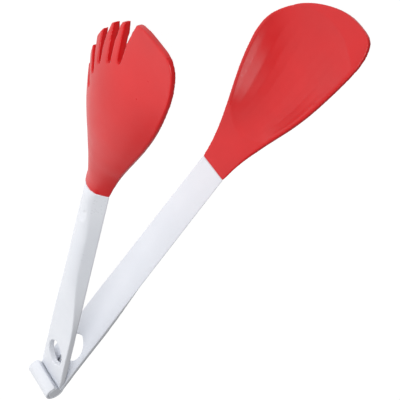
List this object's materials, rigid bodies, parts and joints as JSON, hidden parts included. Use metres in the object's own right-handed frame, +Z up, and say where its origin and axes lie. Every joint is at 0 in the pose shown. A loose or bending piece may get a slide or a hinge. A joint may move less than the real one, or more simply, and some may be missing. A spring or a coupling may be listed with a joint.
{
  "type": "spring loaded kitchen tongs",
  "caption": "Sprung kitchen tongs with flat plastic handles, a hooked hinge base, one spoon head and one slotted fork head.",
  "frame": {"origin": "under the middle of the open tongs, at their lowest point, with the tongs lying on their side", "axes": "+X from the hinge towards the heads, +Y towards the fork arm, +Z up along the hinge pin"},
  "size_m": [0.298, 0.1384, 0.0703],
  "materials": {
    "white_plastic": "satin moulded",
    "red_nylon": "satin moulded",
    "steel": "drawn"
  },
  "bodies": {
    "spoon_arm": {"spoon_head": "red_nylon", "spoon_handle": "white_plastic", "spoon_handle_cover": "white_plastic", "hinge_block": "white_plastic", "block_screw_lower": "steel", "block_screw_upper": "steel", "torsion_spring": "steel"},
    "fork_arm": {"fork_head": "red_nylon", "fork_handle": "white_plastic", "fork_handle_cover": "white_plastic", "hinge_pin": "steel"}
  },
  "joints": [
    {"name": "arm_hinge", "type": "hinge", "parent": "spoon_arm", "child": "fork_arm", "pos_m": [-0.13428, 0.00017, 0.03361], "axis": [0, 0, 1], "range_deg": [-26.4, 0], "stiffness_Nm_per_rad": 0.15, "springref_deg": 20.05, "deforming": ["torsion_spring"]}
  ]
}
